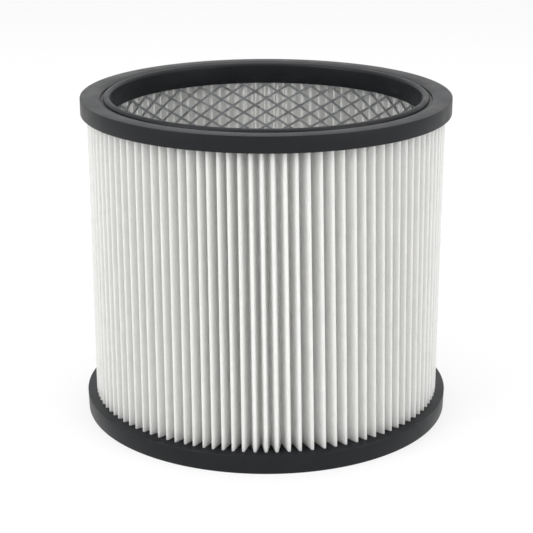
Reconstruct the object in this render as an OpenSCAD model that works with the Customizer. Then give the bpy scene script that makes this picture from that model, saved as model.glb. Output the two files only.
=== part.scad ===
// Pleated cartridge filter of a wet and dry vacuum cleaner.
// A sheet of filter media is folded into a ring of pleats, stands round a tube of
// expanded steel mesh and is moulded at both ends into a soft ring-shaped end cap.
// Origin: centre of the resting face. The axis of the cartridge is +Z.

/* [Overall] */
// Height from the resting face to the crest of the sealing bead
overall_h = 178; // [140:1:260]
// Bore through both end caps
bore_d = 168; // [120:1:240]

/* [Pleated media] */
// Number of pleats round the ring
pleat_count = 108; // [90:2:116]
// Radial depth of a pleat, over its outer and inner folds
pleat_depth = 10.6; // [9:0.1:16]
// Thickness of the media
media_t = 0.6; // [0.4:0.05:0.8]
// Radius of a fold, at the middle of the sheet
fold_r = 0.85; // [0.7:0.05:1]
// Width of the lap that joins the two ends of the sheet on one flank
lap_w = 7; // [4:0.5:8]
// Direction in which the lapped pleat points
lap_a = 270; // [0:10:350]

/* [Mesh core] */
// Thickness of the expanded steel
core_t = 0.8; // [0.5:0.1:1.2]
// Play between the mesh core and its neighbours: the inner folds and the caps' lips
core_play = 0.1; // [0.1:0.05:0.5]
// Diamonds round the core
mesh_around = 15; // [12:1:20]
// Staggered rows of diamonds along the core
mesh_rows = 13; // [9:1:17]
// Width of a strand
strand_w = 3; // [1.2:0.1:4]

/* [End caps] */
// Depth to which the media and the core are moulded into each cap
embed_depth = 5; // [3:0.5:6]
// Wall of the cap that covers the end of the core on the bore side
lip_t = 0.6; // [0.5:0.1:1.5]
// Length by which that wall runs past the face the pleats enter
lip_h = 2.9; // [1:0.1:6]
// Break of the caps' outer corners
edge_break = 0.5; // [0.2:0.1:1]

/* [Top end cap] */
// Height of the outer band
top_band_h = 8.6; // [8:0.1:16]
// Rim outside the pleats
top_rim_w = 3.5; // [3:0.1:10]
// Radius of the sealing bead round the bore
bead_r = 1.95; // [1.5:0.05:2.1]
// Height of the bead's crest over the rim
bead_rise = 0.5; // [0:0.1:1.2]
// Width of the groove outside the bead
groove_w = 1.5; // [1:0.1:2]
// Depth of the groove below the rim
groove_depth = 1.9; // [1.5:0.1:2.4]
// Width of the slope from the groove up to the rim
slope_w = 3.8; // [2:0.1:6]
// Height of that slope
slope_h = 0.9; // [0.4:0.1:1.2]

/* [Bottom end cap] */
// Height of the outer band
bottom_band_h = 10; // [8:0.1:16]
// Rim outside the pleats
bottom_rim_w = 5; // [3:0.1:12]
// Draft of the outer band, by which its lower edge is set in
bottom_draft = 0.3; // [0:0.05:1]

/* [Hidden] */

rubber = "#26272a";
paper = "#f1f1ee";
steel = "#9b9d9f";

// Faces round the caps, and round the section of the bead
$fn = 144;
bead_faces = 32;

// Radii, from the bore outwards
bore_r = bore_d / 2;
facet_a = 180 / mesh_around;
core_in_r = (bore_r + lip_t + core_play) / cos(facet_a / 2);
core_out_r = core_in_r + core_t / cos(facet_a / 2);
media_in_r = core_out_r + core_play;
media_out_r = media_in_r + pleat_depth;
top_r = media_out_r + top_rim_w;
bottom_r = media_out_r + bottom_rim_w;

// Levels, from the resting face upwards
bottom_lip_z = bottom_band_h + lip_h;
rim_z = overall_h - bead_rise;
band_z = rim_z - top_band_h;
top_lip_z = band_z - lip_h;
embed_z = bottom_band_h - embed_depth;
embed_h = band_z + embed_depth - embed_z;

// One pleat: an arc at the outer fold, an arc at the inner fold, a straight flank between
pitch_a = 360 / pleat_count;
fold_reach = fold_r + media_t / 2;
outer_fold_r = media_out_r - fold_reach;
inner_fold_r = media_in_r + fold_reach;
flank_run = outer_fold_r - inner_fold_r * cos(pitch_a / 2);
flank_side = inner_fold_r * sin(pitch_a / 2);
flank_lean = atan2(flank_side, flank_run) - asin(2 * fold_r / norm([flank_run, flank_side]));
outer_sweep = 90 - flank_lean;
inner_sweep = outer_sweep - pitch_a / 2;

// Along the flank towards the inner fold, and square to it, on the pleat that points to +X
flank_dir = [-cos(flank_lean), sin(flank_lean)];
flank_normal = [sin(flank_lean), cos(flank_lean)];

// Faces along the round outside and the tight inside of a fold
wide_faces = 3;
tight_faces = 2;

// Diamonds of the mesh, between the lips of the two caps
mesh_z = bottom_lip_z;
row_h = (top_lip_z - bottom_lip_z) / (mesh_rows + 1);
cell_w = 2 * core_out_r * sin(facet_a);
cell_h = 2 * row_h;
cell_gap = cell_w * cell_h / norm([cell_w, cell_h]);
open_share = 1 - strand_w / cell_gap;

// Angle from a column of diamonds to the nearest fold of the core
fold_shift_a = 0.8;

// Reach of a cut past the wall it opens
cut_over = 1;

// Point at radius r and angle a
function polar(r, a) = [r * cos(a), r * sin(a)];

// Arc about a fold's centre, from -sweep to +sweep about the direction toward
function fold_arc(centre, toward, r, sweep, faces, turn) =
    [for (k = [0 : faces]) centre + polar(r, toward + turn * sweep * (2 * k / faces - 1))];

// One surface of the sheet: side is 1 for the outer surface and -1 for the bore side
function sheet_side(side) =
    let (
        outer_faces = side > 0 ? wide_faces : tight_faces,
        inner_faces = side > 0 ? tight_faces : wide_faces,
        outer_r = fold_r + side * media_t / 2,
        inner_r = fold_r - side * media_t / 2
    )
    [for (i = [0 : pleat_count - 1])
        let (
            a = i * pitch_a,
            b = a + pitch_a / 2
        )
        each concat(
            fold_arc(polar(outer_fold_r, a), a, outer_r, outer_sweep, outer_faces, 1),
            fold_arc(polar(inner_fold_r, b), b + 180, inner_r, inner_sweep, inner_faces, -1)
        )
    ];

// Second layer on the flank where the ends of the sheet lap, from the sheet's middle outwards
module lap() {
    start = [outer_fold_r, 0] + fold_r * flank_normal;
    rise = 1.5 * media_t * flank_normal;
    reach = lap_w * flank_dir;
    polygon([start, start + rise, start + rise + reach, start + reach]);
}

// Ring of folded media, as it is seen from the end
module media_outline() {
    difference() {
        polygon(sheet_side(1));
        polygon(sheet_side(-1));
    }
    lap();
}

// Media over its whole height, with both ends inside the caps
module media_body() {
    translate([0, 0, embed_z])
        rotate([0, 0, lap_a])
            linear_extrude(height = embed_h)
                media_outline();
}

// Flat-sided ring, folded close beside the points of the diamonds
module core_ring(r) {
    polygon([for (i = [0 : 2 * mesh_around - 1]) polar(r, i * facet_a + fold_shift_a)]);
}

// Core before its mesh is opened
module core_blank() {
    translate([0, 0, embed_z])
        linear_extrude(height = embed_h)
            difference() {
                core_ring(core_out_r);
                core_ring(core_in_r);
            }
}

// Diamond that opens the core on its +X side
module diamond() {
    half_w = open_share * cell_w / 2;
    half_h = open_share * cell_h / 2;
    inner_x = core_in_r * cos(facet_a) - cut_over;
    translate([inner_x, 0, 0])
        rotate([90, 0, 90])
            linear_extrude(height = core_out_r + cut_over - inner_x)
                polygon([[half_w, 0], [0, half_h], [-half_w, 0], [0, -half_h]]);
}

// Section of the top cap: the band, the slope, the groove and the lip, with the bead on top
module top_section() {
    bead_mid_r = bore_r + bead_r;
    bead_mid_z = overall_h - bead_r;
    groove_in_r = bore_r + 2 * bead_r;
    groove_out_r = groove_in_r + groove_w;
    polygon([
        [bore_r, top_lip_z],
        [bore_r + lip_t, top_lip_z],
        [bore_r + lip_t, band_z],
        [top_r - edge_break, band_z],
        [top_r, band_z + edge_break],
        [top_r, rim_z - edge_break],
        [top_r - edge_break, rim_z],
        [groove_out_r + slope_w, rim_z],
        [groove_out_r, rim_z - slope_h],
        [groove_out_r, rim_z - groove_depth],
        [groove_in_r, rim_z - groove_depth],
        [groove_in_r, bead_mid_z],
        [bore_r, bead_mid_z]
    ]);
    translate([bead_mid_r, bead_mid_z])
        circle(r = bead_r, $fn = bead_faces);
}

// Section of the bottom cap: a flat ring with a drafted outer band and the lip
module bottom_section() {
    polygon([
        [bore_r, 0],
        [bottom_r - bottom_draft - edge_break, 0],
        [bottom_r - bottom_draft, edge_break],
        [bottom_r, bottom_band_h - edge_break],
        [bottom_r - edge_break, bottom_band_h],
        [bore_r + lip_t, bottom_band_h],
        [bore_r + lip_t, bottom_lip_z],
        [bore_r, bottom_lip_z]
    ]);
}

// Soft cap moulded round the upper ends of the media and the core
module top_end_cap() {
    color(rubber)
        difference() {
            rotate_extrude()
                top_section();
            media_body();
            core_blank();
        }
}

// Soft cap moulded round their lower ends, on which the cartridge stands
module bottom_end_cap() {
    color(rubber)
        difference() {
            rotate_extrude()
                bottom_section();
            media_body();
            core_blank();
        }
}

// Folded filter media, one closed sheet
module pleated_media() {
    color(paper)
        media_body();
}

// Tube of expanded steel that keeps the pleats from folding into the bore
module mesh_core() {
    color(steel)
        difference() {
            core_blank();
            for (row = [1 : mesh_rows])
                for (i = [0 : mesh_around - 1])
                    rotate([0, 0, (2 * i + row % 2) * facet_a])
                        translate([0, 0, mesh_z + row * row_h])
                            diamond();
        }
}

top_end_cap();
bottom_end_cap();
pleated_media();
mesh_core();
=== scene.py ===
"""Pleated cartridge filter of a wet and dry vacuum cleaner, dressed over its CAD frame.

A ring of folded filter media stands round a tube of expanded steel mesh, and both are
cast at their ends into soft black caps with an open bore. Lengths are in metres, the
axis of the cartridge is +Z and the photograph looks along +Y.
"""

import logging
import math
import random
from collections.abc import Callable, Iterator
from contextlib import contextmanager
from dataclasses import dataclass
from enum import Enum

import bmesh
import bpy
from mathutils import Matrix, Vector


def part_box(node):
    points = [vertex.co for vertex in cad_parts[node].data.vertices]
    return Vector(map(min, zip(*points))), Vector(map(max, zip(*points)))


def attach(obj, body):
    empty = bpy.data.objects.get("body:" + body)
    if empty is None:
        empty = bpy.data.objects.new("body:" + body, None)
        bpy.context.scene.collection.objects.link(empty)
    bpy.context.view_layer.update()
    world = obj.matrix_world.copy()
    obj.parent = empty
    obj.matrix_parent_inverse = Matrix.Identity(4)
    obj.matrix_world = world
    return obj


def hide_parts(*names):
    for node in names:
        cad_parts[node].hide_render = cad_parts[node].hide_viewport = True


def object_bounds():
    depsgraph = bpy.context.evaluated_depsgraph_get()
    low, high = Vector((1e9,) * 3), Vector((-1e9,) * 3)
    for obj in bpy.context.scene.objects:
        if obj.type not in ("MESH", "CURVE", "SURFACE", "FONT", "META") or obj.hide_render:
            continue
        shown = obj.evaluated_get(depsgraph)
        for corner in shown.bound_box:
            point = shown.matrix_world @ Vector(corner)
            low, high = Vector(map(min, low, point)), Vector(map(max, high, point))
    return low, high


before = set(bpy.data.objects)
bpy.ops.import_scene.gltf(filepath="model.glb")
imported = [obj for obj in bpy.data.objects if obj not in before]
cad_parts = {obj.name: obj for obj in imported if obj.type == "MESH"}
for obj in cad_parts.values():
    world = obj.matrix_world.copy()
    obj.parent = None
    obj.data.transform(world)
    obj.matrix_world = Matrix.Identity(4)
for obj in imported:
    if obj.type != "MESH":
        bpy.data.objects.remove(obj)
CAD_LOW, CAD_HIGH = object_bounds()

MM = 0.001
AXIS = (0.0, 0.0, 1.0)
# Distances under which two vertices become one, on fine sections and on repeated sheets
FINE_WELD = 0.01 * MM
WELD = 0.02 * MM
# Distance within which a point counts as lying on a line or at a middle
NEAR = 0.1 * MM
LOG = logging.getLogger("cartridge_filter")


class Slot(Enum):
    """Material slots of the record."""

    END_CAP = "end_cap"
    MEDIA = "media"
    MESH = "mesh"


class Pick(Enum):
    """Kinds of mesh element that are selected in edit mode."""

    VERTEX = "VERT"
    EDGE = "EDGE"
    FACE = "FACE"


def linear(hex_colour: str) -> tuple[float, float, float, float]:
    """Turns an sRGB hex colour into a linear one.

    Args:
        hex_colour: the colour as #rrggbb.

    Returns:
        Linear red, green, blue and an alpha of 1.
    """
    channels = [int(hex_colour[i:i + 2], 16) / 255 for i in (1, 3, 5)]
    red, green, blue = [
        c / 12.92 if c <= 0.04045 else ((c + 0.055) / 1.055) ** 2.4 for c in channels
    ]
    return red, green, blue, 1.0


def add_node(
    tree: bpy.types.NodeTree, kind: str, inputs: dict[str | int, object], **settings: object
) -> bpy.types.Node:
    """Adds a node with its settings and links.

    Args:
        tree: the node tree that takes the node.
        kind: Blender's name for the type of node.
        inputs: a value, or the output socket to link, for each input by name or number.
        **settings: properties of the node itself.

    Returns:
        The new node.
    """
    made = tree.nodes.new(kind)
    for name, value in settings.items():
        setattr(made, name, value)
    for name, value in inputs.items():
        if isinstance(value, bpy.types.NodeSocket):
            tree.links.new(value, made.inputs[name])
        else:
            made.inputs[name].default_value = value
    return made


def new_material(name: str) -> tuple[bpy.types.Material, bpy.types.NodeTree]:
    """Makes an empty node material.

    Args:
        name: what the material is really made of.

    Returns:
        The material and its emptied node tree.
    """
    material = bpy.data.materials.new(name)
    material.use_nodes = True
    material.node_tree.nodes.clear()
    return material, material.node_tree


@dataclass(frozen=True)
class CastPolyurethane:
    """Soft black polyurethane, cast in an open mould: a deep satin black with a closed skin."""

    name: str = "cast black polyurethane"
    black: str = "#0f1012"
    bloom: str = "#1a1c20"
    roughness: float = 0.42
    skin_grain: float = 1.1 * MM
    cloud: float = 14 * MM

    def material(self) -> bpy.types.Material:
        """Builds the material.

        The skin's own grain is about 0.2 mm. It is drawn at 1.1 mm, two pixels of the
        render, so that it shows. The bloom is the faint grey haze on moulded rubber.

        Returns:
            The finished material.
        """
        material, tree = new_material(self.name)
        place = add_node(tree, "ShaderNodeTexCoord", {}).outputs["Object"]
        cloud = add_node(tree, "ShaderNodeTexNoise", {
            "Vector": place, "Scale": 1 / self.cloud, "Detail": 4.0, "Roughness": 0.55,
        })
        grain = add_node(tree, "ShaderNodeTexNoise", {
            "Vector": place, "Scale": 1 / self.skin_grain, "Detail": 2.0,
        })
        tint = add_node(tree, "ShaderNodeMix", {
            0: cloud.outputs["Fac"], 6: linear(self.black), 7: linear(self.bloom),
        }, data_type="RGBA")
        gloss = add_node(tree, "ShaderNodeMapRange", {
            "Value": cloud.outputs["Fac"], "From Min": 0.3, "From Max": 0.7,
            "To Min": self.roughness - 0.05, "To Max": self.roughness + 0.07,
        })
        skin = add_node(tree, "ShaderNodeBump", {
            "Height": grain.outputs["Fac"], "Strength": 0.12, "Distance": 0.1 * MM,
        })
        surface = add_node(tree, "ShaderNodeBsdfPrincipled", {
            "Base Color": tint.outputs[2], "Roughness": gloss.outputs["Result"],
            "Normal": skin.outputs["Normal"], "IOR": 1.5, "Specular IOR Level": 0.22,
        })
        add_node(tree, "ShaderNodeOutputMaterial", {"Surface": surface.outputs["BSDF"]})
        return material


@dataclass(frozen=True)
class NonwovenMedia:
    """Resin-stiffened non-woven filter media: chalky white, matte, a little translucent."""

    name: str = "non-woven polyester media"
    white: str = "#fcfcfb"
    fibre_shade: str = "#f4f4f3"
    roughness: float = 0.92
    translucency: float = 0.55
    fibre: float = 0.9 * MM
    clump: float = 5 * MM

    def material(self) -> bpy.types.Material:
        """Builds the material.

        Fibres are about 0.02 mm thick. Their mottle is drawn at 0.9 mm, so that it shows,
        and thicker clumps of fibre at 5 mm, as on real media held to the light.

        Returns:
            The finished material.
        """
        material, tree = new_material(self.name)
        place = add_node(tree, "ShaderNodeTexCoord", {}).outputs["Object"]
        fibre = add_node(tree, "ShaderNodeTexNoise", {
            "Vector": place, "Scale": 1 / self.fibre, "Detail": 3.0, "Roughness": 0.6,
        })
        clump = add_node(tree, "ShaderNodeTexNoise", {
            "Vector": place, "Scale": 1 / self.clump, "Detail": 3.0,
        })
        mottle = add_node(tree, "ShaderNodeMix", {
            0: 0.35, 2: fibre.outputs["Fac"], 3: clump.outputs["Fac"],
        })
        spread = add_node(tree, "ShaderNodeMapRange", {
            "Value": mottle.outputs[0], "From Min": 0.35, "From Max": 0.65,
        })
        tint = add_node(tree, "ShaderNodeMix", {
            0: spread.outputs["Result"], 6: linear(self.fibre_shade), 7: linear(self.white),
        }, data_type="RGBA")
        nap = add_node(tree, "ShaderNodeBump", {
            "Height": fibre.outputs["Fac"], "Strength": 0.25, "Distance": 0.15 * MM,
        })
        surface = add_node(tree, "ShaderNodeBsdfPrincipled", {
            "Base Color": tint.outputs[2], "Roughness": self.roughness,
            "Normal": nap.outputs["Normal"], "IOR": 1.46, "Specular IOR Level": 0.2,
        })
        glow = add_node(tree, "ShaderNodeBsdfTranslucent", {
            "Color": tint.outputs[2], "Normal": nap.outputs["Normal"],
        })
        sheet = add_node(tree, "ShaderNodeMixShader", {
            0: self.translucency, 1: surface.outputs["BSDF"], 2: glow.outputs["BSDF"],
        })
        add_node(tree, "ShaderNodeOutputMaterial", {"Surface": sheet.outputs["Shader"]})
        return material


@dataclass(frozen=True)
class GalvanisedSteel:
    """Expanded steel with a thin zinc coat: grey, dull, with a soft metallic glint."""

    name: str = "galvanised expanded steel"
    zinc: str = "#9a9c9f"
    spangle: str = "#b4b6b9"
    roughness: float = 0.42
    crystal: float = 3 * MM
    shear_mark: float = 0.8 * MM

    def material(self) -> bpy.types.Material:
        """Builds the material.

        Zinc crystals on thin sheet are about 3 mm across, and shear marks from the
        expanding blade roughen the strands' edges.

        Returns:
            The finished material.
        """
        material, tree = new_material(self.name)
        place = add_node(tree, "ShaderNodeTexCoord", {}).outputs["Object"]
        crystals = add_node(tree, "ShaderNodeTexVoronoi", {
            "Vector": place, "Scale": 1 / self.crystal,
        })
        shade = add_node(tree, "ShaderNodeSeparateColor", {"Color": crystals.outputs["Color"]})
        tint = add_node(tree, "ShaderNodeMix", {
            0: shade.outputs["Red"], 6: linear(self.zinc), 7: linear(self.spangle),
        }, data_type="RGBA")
        gloss = add_node(tree, "ShaderNodeMapRange", {
            "Value": shade.outputs["Green"],
            "To Min": self.roughness - 0.08, "To Max": self.roughness + 0.08,
        })
        shear = add_node(tree, "ShaderNodeTexNoise", {
            "Vector": place, "Scale": 1 / self.shear_mark, "Detail": 2.0,
        })
        marks = add_node(tree, "ShaderNodeBump", {
            "Height": shear.outputs["Fac"], "Strength": 0.2, "Distance": 0.1 * MM,
        })
        surface = add_node(tree, "ShaderNodeBsdfPrincipled", {
            "Base Color": tint.outputs[2], "Roughness": gloss.outputs["Result"],
            "Normal": marks.outputs["Normal"], "Metallic": 1.0,
        })
        add_node(tree, "ShaderNodeOutputMaterial", {"Surface": surface.outputs["BSDF"]})
        return material


Finish = CastPolyurethane | NonwovenMedia | GalvanisedSteel


def put_tools_down() -> None:
    """Leaves edit mode and deselects every object."""
    if bpy.context.mode != "OBJECT":
        bpy.ops.object.mode_set(mode="OBJECT")
    bpy.ops.object.select_all(action="DESELECT")


@contextmanager
def editing(piece: bpy.types.Object) -> Iterator[None]:
    """Opens one piece in edit mode with all of it selected, and closes it afterwards.

    Args:
        piece: the mesh object to shape.

    Yields:
        Nothing: the operators act on the open piece.
    """
    put_tools_down()
    piece.select_set(True)
    bpy.context.view_layer.objects.active = piece
    bpy.ops.object.mode_set(mode="EDIT")
    bpy.ops.mesh.select_mode(type=Pick.VERTEX.value)
    bpy.ops.mesh.select_all(action="SELECT")
    yield
    put_tools_down()


def pick(piece: bpy.types.Object, element: Pick, wanted: Callable[[Vector], bool]) -> None:
    """Selects the elements of the open piece whose middle meets a test, and no others.

    Args:
        piece: the object in edit mode.
        element: the kind of element to select.
        wanted: the test of an element's middle.
    """
    bpy.ops.mesh.select_mode(type=element.value)
    bpy.ops.mesh.select_all(action="DESELECT")
    mesh = bmesh.from_edit_mesh(piece.data)
    group = {Pick.VERTEX: mesh.verts, Pick.EDGE: mesh.edges, Pick.FACE: mesh.faces}[element]
    for item in group:
        corners = [item.co] if element is Pick.VERTEX else [v.co for v in item.verts]
        middle = sum(corners, Vector()) / len(corners)
        if wanted(middle):
            item.select_set(True)
    mesh.select_flush_mode()
    bmesh.update_edit_mesh(piece.data)


def apply_modifier(piece: bpy.types.Object, kind: str, **settings: object) -> None:
    """Adds a modifier to a piece and applies it.

    Args:
        piece: the object to change.
        kind: Blender's name for the type of modifier.
        **settings: the modifier's settings.
    """
    put_tools_down()
    piece.select_set(True)
    bpy.context.view_layer.objects.active = piece
    modifier = piece.modifiers.new(kind.lower(), kind)
    for name, value in settings.items():
        setattr(modifier, name, value)
    bpy.ops.object.modifier_apply(modifier=modifier.name)
    put_tools_down()


def close_up(piece: bpy.types.Object, gap: float) -> None:
    """Merges a piece's doubled vertices and turns its faces outwards.

    Args:
        piece: the object to change.
        gap: the distance under which two vertices become one.
    """
    with editing(piece):
        bpy.ops.mesh.remove_doubles(threshold=gap)
        bpy.ops.mesh.normals_make_consistent(inside=False)


def settle(piece: bpy.types.Object, sharp_a: float) -> None:
    """Puts a piece's place into its mesh and smooths its shading.

    Args:
        piece: the object to change.
        sharp_a: the angle between faces above which an edge stays sharp.
    """
    put_tools_down()
    piece.select_set(True)
    bpy.context.view_layer.objects.active = piece
    bpy.ops.object.transform_apply(location=True, rotation=True, scale=True)
    bpy.ops.object.shade_smooth_by_angle(angle=sharp_a)
    put_tools_down()


@dataclass
class Part:
    """A piece of the cartridge that stands in for one CAD node."""

    name: str
    node: str
    slot: Slot
    finish: Finish

    def build(self) -> bpy.types.Object:
        """Models the piece."""
        raise NotImplementedError

    def dress(self, piece: bpy.types.Object) -> None:
        """Gives the piece its finish and its place in the frame.

        Args:
            piece: the modelled object.
        """
        piece.name = self.name
        piece.data.name = self.name
        piece.data.materials.clear()
        piece.data.materials.append(self.finish.material())
        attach(piece, "root")
        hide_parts(self.node)

    def make(self) -> bpy.types.Object:
        """Models the piece, dresses it and reports it.

        Returns:
            The finished object.
        """
        piece = self.build()
        self.dress(piece)
        LOG.info("%s: %d faces", piece.name, len(piece.data.polygons))
        return piece


@dataclass
class CastRing(Part):
    """A soft end cap: one closed section carried round the bore."""

    bore_r: float = 84 * MM
    lip_t: float = 0.6 * MM
    lip_h: float = 2.9 * MM
    edge_r: float = 0.5 * MM
    around: int = 288

    def section(self) -> list[tuple[float, float]]:
        """Lists the section's corners as radius and height, from the outer band inwards."""
        raise NotImplementedError

    def build(self) -> bpy.types.Object:
        """Extrudes a ring along the section, closes it and rounds its corners.

        Returns:
            The modelled cap.
        """
        corners = self.section()
        put_tools_down()
        bpy.ops.mesh.primitive_circle_add(
            vertices=self.around, radius=corners[0][0], location=(0, 0, corners[0][1])
        )
        cap = bpy.context.object
        bpy.ops.object.transform_apply(location=True, rotation=False, scale=False)
        with editing(cap):
            bpy.ops.mesh.select_mode(type=Pick.EDGE.value)
            for (r, z), (next_r, next_z) in zip(corners, corners[1:] + corners[:1]):
                bpy.ops.mesh.extrude_edges_move(
                    TRANSFORM_OT_translate={"value": (0, 0, next_z - z)}
                )
                bpy.ops.transform.resize(
                    value=(next_r / r, next_r / r, 1), center_override=(0, 0, next_z)
                )
        close_up(cap, FINE_WELD)
        apply_modifier(
            cap, "BEVEL", width=self.edge_r, segments=3, limit_method="ANGLE",
            angle_limit=math.radians(28),
        )
        settle(cap, sharp_a=math.radians(40))
        return cap


@dataclass
class TopCap(CastRing):
    """The upper cap: band, flat rim, slope, groove and the sealing bead round the bore."""

    crest_z: float = 178 * MM
    band_h: float = 8.6 * MM
    bead_r: float = 1.95 * MM
    bead_rise: float = 0.5 * MM
    groove_w: float = 1.5 * MM
    groove_depth: float = 1.9 * MM
    slope_w: float = 3.8 * MM
    slope_h: float = 0.9 * MM
    slope_curve: float = 1.6
    slope_faces: int = 4
    bead_faces: int = 14

    def section(self) -> list[tuple[float, float]]:
        """Lists the section's corners, with the bead as a half circle.

        Returns:
            Radius and height of each corner, from the band's lower edge round to the lip.
        """
        outer_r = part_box(self.node)[1].x
        rim_z = self.crest_z - self.bead_rise
        band_z = rim_z - self.band_h
        lip_z = band_z - self.lip_h
        bead_z = self.crest_z - self.bead_r
        bead_mid_r = self.bore_r + self.bead_r
        groove_in_r = self.bore_r + 2 * self.bead_r
        groove_out_r = groove_in_r + self.groove_w
        slope = [
            (groove_out_r + self.slope_w * t, rim_z - self.slope_h * (1 - t) ** self.slope_curve)
            for t in (1 - k / self.slope_faces for k in range(self.slope_faces + 1))
        ]
        bead = [
            (bead_mid_r + self.bead_r * math.cos(a), bead_z + self.bead_r * math.sin(a))
            for a in (math.pi * k / self.bead_faces for k in range(self.bead_faces + 1))
        ]
        return [
            (outer_r, band_z),
            (outer_r, rim_z),
            *slope,
            (groove_out_r, rim_z - self.groove_depth),
            (groove_in_r, rim_z - self.groove_depth),
            *bead,
            (self.bore_r, lip_z),
            (self.bore_r + self.lip_t, lip_z),
            (self.bore_r + self.lip_t, band_z),
        ]


@dataclass
class BottomCap(CastRing):
    """The lower cap, on which the cartridge stands: a flat ring with a drafted band."""

    band_h: float = 10 * MM
    draft: float = 0.3 * MM

    def section(self) -> list[tuple[float, float]]:
        """Lists the section's corners.

        Returns:
            Radius and height of each corner, from the resting face up round to the lip.
        """
        outer_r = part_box(self.node)[1].x
        lip_z = self.band_h + self.lip_h
        return [
            (outer_r - self.draft, 0.0),
            (outer_r, self.band_h),
            (self.bore_r + self.lip_t, self.band_h),
            (self.bore_r + self.lip_t, lip_z),
            (self.bore_r, lip_z),
            (self.bore_r, 0.0),
        ]


@dataclass
class PleatPack(Part):
    """The folded media: one sheet in a closed ring of pleats, set by hand before casting."""

    count: int = 108
    tip_r: float = 96.67 * MM
    root_r: float = 86.07 * MM
    sheet: float = 0.6 * MM
    fold_r: float = 0.4 * MM
    foot_z: float = 5 * MM
    head_z: float = 173.9 * MM
    levels: int = 14
    tip_faces: int = 5
    flank_faces: int = 3
    root_faces: int = 3
    front_a: float = math.radians(270)
    seam_bunch: float = math.radians(2.0)
    seam_relief: float = 0.25
    seam_reach: float = math.radians(22)
    even_lean: float = math.radians(0.3)
    twist: float = math.radians(3.0)
    twist_a: float = math.radians(45)
    twist_reach: float = math.radians(45)
    unevenness: float = math.radians(0.16)
    root_share: float = 0.6
    lean_share: float = 0.7
    seed: int = 11

    def half_pleat(self) -> bpy.types.Object:
        """Folds half a pleat at the foot of the pack, from its tip to the middle of a root.

        Returns:
            The half pleat as a line of edges.
        """
        pitch = 2 * math.pi / self.count
        reach = self.fold_r + self.sheet / 2
        tip_mid = Vector((self.tip_r - reach, 0, self.foot_z))
        root_mid_r = self.root_r + reach
        root_mid = Vector((
            root_mid_r * math.cos(pitch / 2), root_mid_r * math.sin(pitch / 2), self.foot_z,
        ))
        span = root_mid - tip_mid
        lean = math.atan2(span.y, -span.x) - math.asin(2 * self.fold_r / span.length)
        tip_sweep = math.pi / 2 - lean
        root_sweep = tip_sweep - pitch / 2
        step = math.sqrt(span.length ** 2 - 4 * self.fold_r ** 2) / self.flank_faces
        put_tools_down()
        bpy.ops.mesh.primitive_plane_add(size=MM, location=tip_mid + Vector((self.fold_r, 0, 0)))
        pleat = bpy.context.object
        bpy.ops.object.transform_apply(location=True, rotation=False, scale=False)
        with editing(pleat):
            bpy.ops.mesh.merge(type="CENTER")
            bpy.ops.mesh.spin(steps=self.tip_faces, angle=-tip_sweep, center=tip_mid, axis=AXIS)
            for _ in range(self.flank_faces):
                bpy.ops.mesh.extrude_vertices_move(TRANSFORM_OT_translate={"value": (
                    -step * math.cos(lean), step * math.sin(lean), 0,
                )})
            bpy.ops.mesh.spin(steps=self.root_faces, angle=root_sweep, center=root_mid, axis=AXIS)
        return pleat

    def build(self) -> bpy.types.Object:
        """Raises the half pleat to full height, mirrors it and sets the pleats in a ring.

        Returns:
            The modelled pack.
        """
        pack = self.half_pleat()
        rise = (self.head_z - self.foot_z) / self.levels
        with editing(pack):
            bpy.ops.mesh.select_mode(type=Pick.EDGE.value)
            for _ in range(self.levels):
                bpy.ops.mesh.extrude_edges_move(TRANSFORM_OT_translate={"value": (0, 0, rise)})
        apply_modifier(
            pack, "MIRROR", use_axis=(False, True, False), merge_threshold=FINE_WELD,
        )
        with editing(pack):
            bpy.ops.mesh.spin(
                steps=self.count - 1, angle=2 * math.pi * (self.count - 1) / self.count,
                center=(0, 0, 0), axis=AXIS, dupli=True,
            )
        close_up(pack, WELD)
        self.set_unevenly(pack)
        apply_modifier(pack, "SOLIDIFY", thickness=self.sheet, offset=0, use_even_offset=True)
        settle(pack, sharp_a=math.radians(50))
        return pack

    def set_unevenly(self, pack: bpy.types.Object) -> None:
        """Shifts tips and roots round the ring, as hand-set pleats stand.

        The pleats crowd to the left of the front seam, open up to its right and lean
        from head to foot. Tips and roots move apart from each other, so that each flank
        stays straight. No operator sets every fold on its own, so this is one pass over
        the vertices.

        Args:
            pack: the even pack, one vertex deep.
        """
        chance = random.Random(self.seed)
        pitch = 2 * math.pi / self.count
        tips = [chance.uniform(-1, 1) * self.unevenness for _ in range(self.count)]
        root_reach = self.root_share * self.unevenness
        roots = [
            (tips[i] + tips[(i + 1) % self.count]) / 2 + chance.uniform(-1, 1) * root_reach
            for i in range(self.count)
        ]
        lean_reach = self.lean_share * self.unevenness
        lean_tips = [chance.uniform(-1, 1) * lean_reach for _ in range(self.count)]
        for vertex in pack.data.vertices:
            x, y, z = vertex.co
            r = math.hypot(x, y)
            a = math.atan2(y, x) % (2 * math.pi)
            out = min(max((r - self.root_r) / (self.tip_r - self.root_r), 0.0), 1.0)
            down = (self.head_z - z) / (self.head_z - self.foot_z)
            tip = round(a / pitch) % self.count
            root = math.floor(a / pitch) % self.count
            shift = out * (tips[tip] + lean_tips[tip] * (down - 0.5)) + (1 - out) * roots[root]
            a += shift + self.crowding(a) + down * self.lean(a)
            vertex.co = (r * math.cos(a), r * math.sin(a), z)

    def from_front(self, a: float) -> float:
        """Gives the angle to the right of the front, between -pi and pi."""
        return (a - self.front_a + math.pi) % (2 * math.pi) - math.pi

    def crowding(self, a: float) -> float:
        """Gives the shift at an angle that crowds the pleats beside the front seam."""
        near = math.exp(-(self.from_front(a) / self.seam_reach) ** 2)
        return self.seam_bunch * (self.seam_relief - near)

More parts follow.
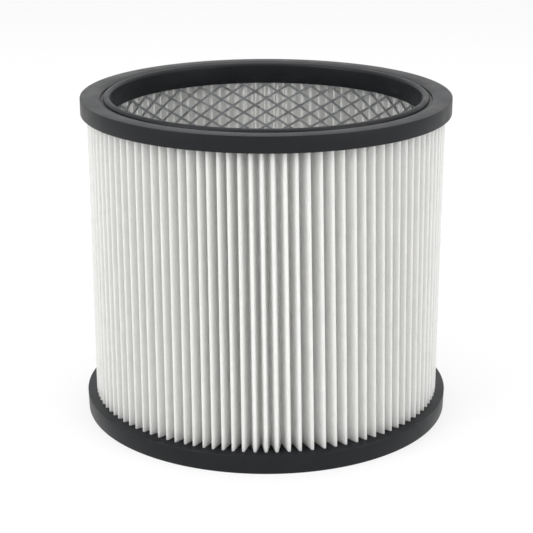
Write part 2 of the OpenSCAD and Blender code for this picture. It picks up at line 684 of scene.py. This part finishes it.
    def lean(self, a: float) -> float:
        """Gives how far a pleat's foot stands round the ring from its head."""
        off = self.from_front(a) - self.twist_a
        return self.even_lean + self.twist * math.exp(-(off / self.twist_reach) ** 2)


@dataclass
class MeshCore(Part):
    """The inner tube: expanded steel sheet, rolled and closed, its diamonds lying across."""

    mid_r: float = 85.3 * MM
    around: int = 40
    cell_h: float = 8.4 * MM
    rows: int = 20
    strand_w: float = 1.2 * MM
    strand_t: float = 0.6 * MM
    bond_w: float = 1.7 * MM
    tilt: float = 0.16 * MM
    edge_break: float = 0.14 * MM
    foot_z: float = 5.4 * MM

    def strand_frame(self, cell_w: float) -> bpy.types.Object:
        """Cuts one diamond: half of each strand round an opening with blunt top and bottom.

        Args:
            cell_w: the width of a diamond, from bond to bond.

        Returns:
            The frame, flat in the plane of X and Z.
        """
        put_tools_down()
        bpy.ops.mesh.primitive_circle_add(
            vertices=4, radius=0.5, fill_type="NGON", rotation=(math.pi / 2, 0, 0),
        )
        cell = bpy.context.object
        cell.scale = (cell_w, self.cell_h, 1)
        bpy.ops.object.transform_apply(location=False, rotation=True, scale=True)
        opening_top = self.cell_h / 4
        with editing(cell):
            bpy.ops.mesh.select_mode(type=Pick.FACE.value)
            bpy.ops.mesh.inset(thickness=self.strand_w / 2, use_even_offset=True)
            pick(cell, Pick.VERTEX, lambda at: abs(at.x) < NEAR
                 and opening_top < abs(at.z) < self.cell_h / 2 - NEAR)
            bpy.ops.mesh.bevel(
                offset=self.bond_w / 2, offset_type="WIDTH", affect="VERTICES", segments=1,
            )
            pick(cell, Pick.FACE, lambda at: at.length < NEAR)
            bpy.ops.mesh.delete(type="FACE")
            for side in (1, -1):
                pick(cell, Pick.VERTEX, lambda at: opening_top < side * at.z
                     and side * at.z < self.cell_h / 2 - NEAR)
                bpy.ops.transform.translate(value=(0, side * self.tilt, 0))
        return cell

    def build(self) -> bpy.types.Object:
        """Repeats the diamond into a staggered sheet, rolls it and gives it its thickness.

        Returns:
            The modelled tube.
        """
        girth = 2 * math.pi * self.mid_r
        cell_w = girth / self.around
        core = self.strand_frame(cell_w)
        with editing(core):
            bpy.ops.mesh.duplicate_move(TRANSFORM_OT_translate={
                "value": (cell_w / 2, 0, self.cell_h / 2),
            })
        for step, copies in (((cell_w, 0, 0), self.around), ((0, 0, self.cell_h), self.rows)):
            apply_modifier(
                core, "ARRAY", count=copies, use_relative_offset=False,
                use_constant_offset=True, constant_offset_displace=step,
            )
        close_up(core, WELD)
        for vertex in core.data.vertices:
            a = vertex.co.x / self.mid_r
            r = self.mid_r + vertex.co.y
            z = self.foot_z + self.cell_h / 2 + vertex.co.z
            vertex.co = (r * math.cos(a), r * math.sin(a), z)
        close_up(core, WELD)
        apply_modifier(core, "SOLIDIFY", thickness=self.strand_t, offset=0, use_even_offset=True)
        apply_modifier(
            core, "BEVEL", width=self.edge_break, segments=1, limit_method="ANGLE",
            angle_limit=math.radians(50),
        )
        settle(core, sharp_a=math.radians(35))
        return core


def seen_or_mirrored(tree: bpy.types.NodeTree) -> bpy.types.NodeSocket:
    """Adds nodes that tell the rays the camera looks along from those that carry light.

    Args:
        tree: the node tree that takes the nodes.

    Returns:
        A socket that is 1 for a straight, mirrored or transmitted look, and 0 otherwise.
    """
    path = add_node(tree, "ShaderNodeLightPath", {})
    seen = add_node(tree, "ShaderNodeMath", {
        0: path.outputs["Is Camera Ray"], 1: path.outputs["Is Glossy Ray"],
    }, operation="MAXIMUM")
    return add_node(tree, "ShaderNodeMath", {
        0: seen.outputs[0], 1: path.outputs["Is Transmission Ray"],
    }, operation="MAXIMUM").outputs[0]


@dataclass(frozen=True)
class StudioLamp:
    """A soft box that faces the cartridge."""

    name: str
    place: tuple[float, float, float]
    size: tuple[float, float]
    watts: float

    def hang(self, target: Vector) -> None:
        """Hangs the lamp and aims it.

        Args:
            target: the point that it faces.
        """
        data = bpy.data.lights.new(self.name, "AREA")
        data.shape = "RECTANGLE"
        data.size, data.size_y = self.size
        data.energy = self.watts
        lamp = bpy.data.objects.new(self.name, data)
        lamp.location = self.place
        lamp.rotation_euler = (target - Vector(self.place)).to_track_quat("-Z", "Y").to_euler()
        bpy.context.scene.collection.objects.link(lamp)


@dataclass(frozen=True)
class Studio:
    """White sweep, soft boxes and the camera at the photograph's viewing angle."""

    floor_size: float = 12.0
    floor_white: str = "#f4f4f4"
    room_white: str = "#ffffff"
    floor_drop: float = 0.05 * MM
    shadow_share: float = 0.3
    sky_fill: float = 0.62
    lens: float = 101.5
    film_w: float = 36.0
    view_end: float = 50.0
    camera_x: float = 0.2 * MM
    distance: float = 0.80
    height: float = 0.3453
    pitch_a: float = 18.43
    lamps: tuple[StudioLamp, ...] = (
        StudioLamp("key soft box, left", (-1.6, -1.1, 1.3), (1.4, 1.4), 26),
        StudioLamp("fill soft box, right", (1.7, -1.0, 1.1), (1.4, 1.4), 20),
        StudioLamp("top soft box", (0.0, 0.3, 2.0), (1.6, 1.2), 16),
    )

    def lay_floor(self) -> None:
        """Lays the white floor, which keeps a soft part of the object's shadow."""
        put_tools_down()
        bpy.ops.mesh.primitive_plane_add(size=self.floor_size, location=(0, 0, -self.floor_drop))
        floor = bpy.context.object
        floor.name = "studio_floor"
        bpy.ops.object.transform_apply(location=True, rotation=False, scale=False)
        material, tree = new_material("matte white sweep")
        share = add_node(tree, "ShaderNodeMath", {
            0: seen_or_mirrored(tree), 1: 1 - self.shadow_share,
        }, operation="MULTIPLY")
        matte = add_node(tree, "ShaderNodeBsdfDiffuse", {"Color": linear(self.floor_white)})
        glow = add_node(tree, "ShaderNodeEmission", {"Strength": 1.0})
        blend = add_node(tree, "ShaderNodeMixShader", {
            0: share.outputs[0], 1: matte.outputs[0], 2: glow.outputs[0],
        })
        add_node(tree, "ShaderNodeOutputMaterial", {"Surface": blend.outputs[0]})
        floor.data.materials.append(material)

    def light_room(self) -> None:
        """Hangs the lamps and makes the room white where it is seen or mirrored."""
        target = Vector((0, 0, (CAD_LOW.z + CAD_HIGH.z) / 2))
        for lamp in self.lamps:
            lamp.hang(target)
        world = bpy.data.worlds.new("white room")
        bpy.context.scene.world = world
        world.use_nodes = True
        tree = world.node_tree
        tree.nodes.clear()
        strength = add_node(tree, "ShaderNodeMapRange", {
            "Value": seen_or_mirrored(tree), "To Min": self.sky_fill, "To Max": 1.0,
        })
        room = add_node(tree, "ShaderNodeBackground", {
            "Color": linear(self.room_white), "Strength": strength.outputs["Result"],
        })
        add_node(tree, "ShaderNodeOutputWorld", {"Surface": room.outputs[0]})

    def set_camera(self) -> None:
        """Stands the camera in front of the cartridge, tipped down at it."""
        data = bpy.data.cameras.new("camera")
        data.lens = self.lens
        data.sensor_width = self.film_w
        data.clip_end = self.view_end
        camera = bpy.data.objects.new("camera", data)
        camera.location = (self.camera_x, -self.distance, self.height)
        camera.rotation_euler = (math.radians(90 - self.pitch_a), 0, 0)
        bpy.context.scene.collection.objects.link(camera)
        bpy.context.scene.camera = camera

    def set_up(self) -> None:
        """Sets up camera, floor, lamps and plain colour handling."""
        self.set_camera()
        self.lay_floor()
        self.light_room()
        bpy.context.scene.view_settings.view_transform = "Standard"


def main() -> None:
    """Builds the studio and the cartridge, piece by piece."""
    logging.basicConfig(level=logging.INFO, format="%(name)s: %(message)s")
    Studio().set_up()
    rubber = CastPolyurethane()
    TopCap("top_cap_ring", "top_end_cap", Slot.END_CAP, rubber).make()
    BottomCap("bottom_cap_ring", "bottom_end_cap", Slot.END_CAP, rubber).make()
    PleatPack("pleat_pack", "pleated_media", Slot.MEDIA, NonwovenMedia()).make()
    MeshCore("expanded_mesh_tube", "mesh_core", Slot.MESH, GalvanisedSteel()).make()


if __name__ == "__main__":
    main()
